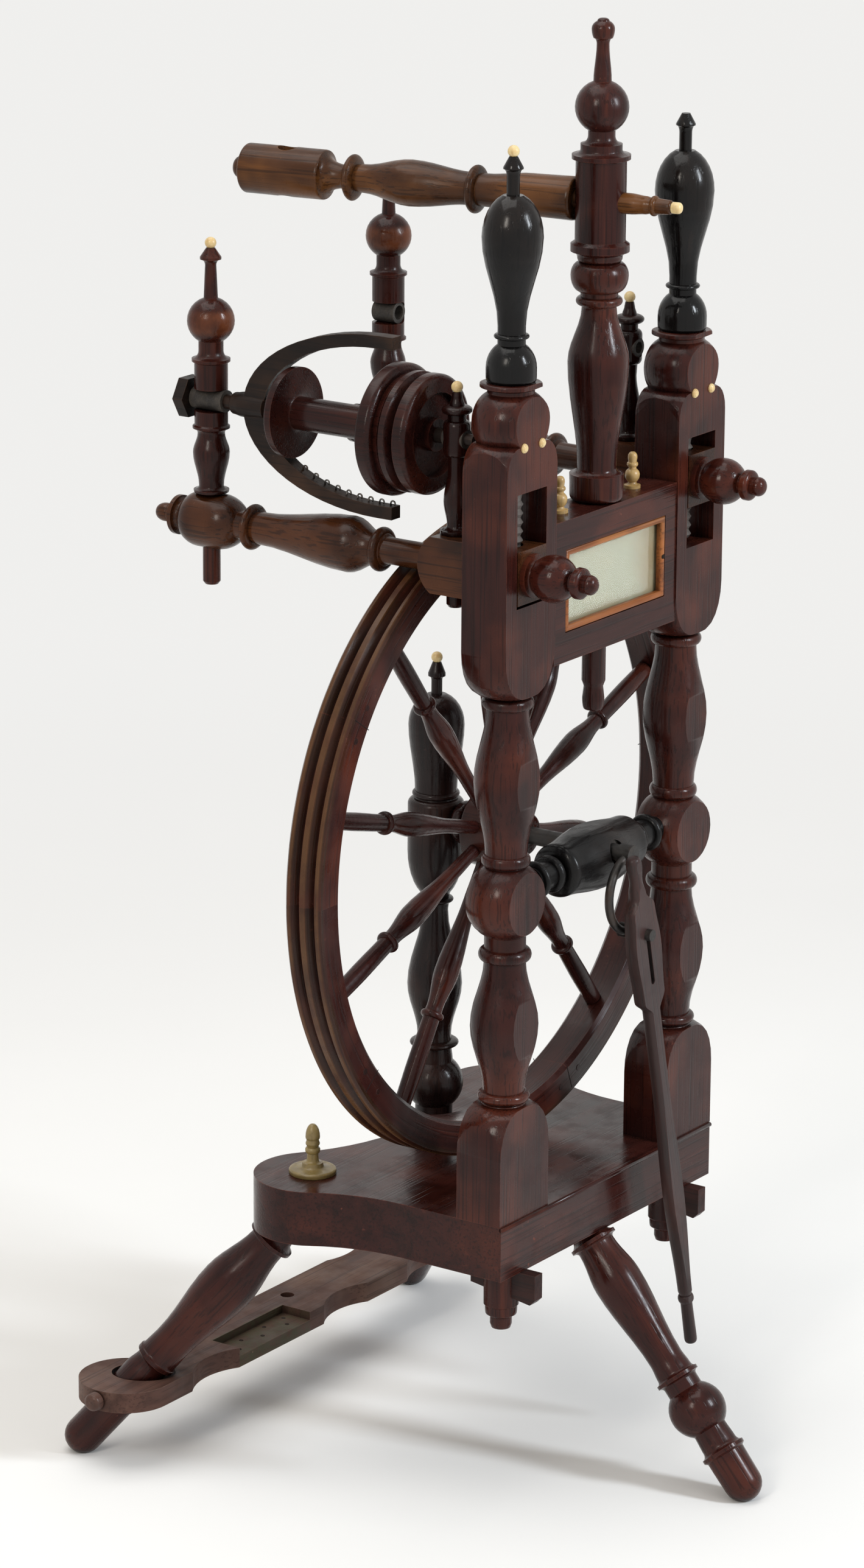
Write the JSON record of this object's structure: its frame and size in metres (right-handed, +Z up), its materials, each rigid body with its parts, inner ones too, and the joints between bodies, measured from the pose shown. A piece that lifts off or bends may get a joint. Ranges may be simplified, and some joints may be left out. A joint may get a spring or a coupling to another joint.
{
  "type": "upright spinning wheel",
  "caption": "Upright treadle spinning wheel: turned posts over a lobed three-legged board, drive wheel with crank and footman, screw-tensioned arms, flyer, bobbin and distaff arm.",
  "frame": {"origin": "on the floor under the middle of the object's box", "axes": "+Z up, -Y towards the spinner and the name panel, +X to the right seen from the front; the wheel's axle runs along Y"},
  "size_m": [0.46, 0.4441, 1.0003],
  "materials": {
    "mahogany": "polished",
    "dark_wood": "satin",
    "worn_wood": "worn",
    "walnut": "satin",
    "ebonised": "polished",
    "moulding": "satin",
    "bone": "polished bone",
    "aged_bone": "yellowed bone",
    "leather_bush": "greased",
    "parchment": "aged paper",
    "glass": "clear",
    "iron": "forged",
    "iron_wire": "worn"
  },
  "bodies": {
    "stand": {"board": "mahogany", "leg_front": "mahogany", "leg_rear_left": "mahogany", "leg_rear_right": "mahogany", "post_left": "mahogany", "post_right": "mahogany", "post_keys": "dark_wood", "rear_post": "ebonised", "rear_post_bead": "bone", "stretcher": "ebonised", "axle_bushes": "leather_bush", "name_panel": "mahogany", "panel_moulding": "moulding", "label_card": "parchment", "label_glass": "glass", "crest_finials": "bone", "board_finials": "aged_bone", "screw_studs": "bone", "treadle_pins": "worn_wood"},
    "wheel": {"felloe_1": "mahogany", "felloe_2": "mahogany", "felloe_3": "mahogany", "felloe_4": "mahogany", "felloe_5": "mahogany", "spokes": "mahogany", "wheel_hub": "mahogany", "crank_axle": "iron"},
    "footman": {"footman": "mahogany"},
    "treadle": {"treadle_bar": "worn_wood"},
    "left_screw": {"screw_left": "ebonised", "screw_bead": "bone"},
    "right_screw": {"screw_right": "ebonised"},
    "left_arm": {"arm_left": "walnut", "arm_knob_left": "mahogany", "rear_maiden_left": "mahogany", "front_maiden_left": "mahogany", "maiden_beads_left": "bone", "flyer_bushes": "leather_bush"},
    "right_arm": {"arm_right": "walnut", "arm_knob_right": "mahogany", "rear_maiden_right": "mahogany", "front_maiden_right": "mahogany", "maiden_beads_right": "bone", "spare_bushes": "leather_bush"},
    "flyer": {"flyer": "ebonised", "flyer_hooks": "iron_wire", "flyer_whorl": "mahogany", "orifice": "ebonised"},
    "bobbin": {"bobbin": "mahogany"},
    "distaff": {"distaff_post": "mahogany"},
    "distaff_arm": {"distaff_arm": "walnut", "distaff_bead": "bone"}
  },
  "joints": [
    {"name": "wheel_spin", "type": "hinge", "parent": "stand", "child": "wheel", "pos_m": [0, 0.0035, 0.439], "axis": [0, 1, 0], "continuous": true},
    {"name": "footman_swing", "type": "hinge", "parent": "wheel", "child": "footman", "pos_m": [0, -0.1165, 0.386], "axis": [0, 1, 0], "continuous": true},
    {"name": "treadle_rock", "type": "hinge", "parent": "stand", "child": "treadle", "pos_m": [0, 0.1785, 0.052], "axis": [1, 0, 0], "range_deg": [-3, 3]},
    {"name": "left_screw_turn", "type": "hinge", "parent": "stand", "child": "left_screw", "pos_m": [-0.103, -0.0745, 0.809], "axis": [0, 0, 1], "range_deg": [-2, 1922]},
    {"name": "left_arm_lift", "type": "slide", "parent": "stand", "child": "left_arm", "axis": [0, 0, 1], "range_m": [0, 0.032]},
    {"name": "right_screw_turn", "type": "hinge", "parent": "stand", "child": "right_screw", "pos_m": [0.103, -0.0745, 0.809], "axis": [0, 0, 1], "range_deg": [-1502, 362]},
    {"name": "right_arm_lift", "type": "slide", "parent": "stand", "child": "right_arm", "axis": [0, 0, 1], "range_m": [-0.025, 0.006]},
    {"name": "flyer_spin", "type": "hinge", "parent": "left_arm", "child": "flyer", "pos_m": [-0.103, 0.0715, 0.73489], "axis": [0, 1, 0], "continuous": true},
    {"name": "bobbin_spin", "type": "hinge", "parent": "flyer", "child": "bobbin", "pos_m": [-0.103, 0.0625, 0.73489], "axis": [0, 1, 0], "continuous": true},
    {"name": "distaff_swivel", "type": "hinge", "parent": "stand", "child": "distaff", "pos_m": [0, -0.0745, 0.67989], "axis": [0, 0, 1], "range_deg": [-22, 8]},
    {"name": "distaff_arm_turn", "type": "hinge", "parent": "distaff", "child": "distaff_arm", "pos_m": [0, -0.0745, 0.88029], "axis": [-0.1478, 0.989, 0], "range_deg": [-25, 25]}
  ],
  "couplings": [
    {"joint": "footman_swing", "follows": "wheel_spin", "ratio": -1},
    {"joint": "left_screw_turn", "follows": "left_arm_lift", "rad_per_m": 1047.2},
    {"joint": "right_screw_turn", "follows": "right_arm_lift", "rad_per_m": 1047.2}
  ]
}
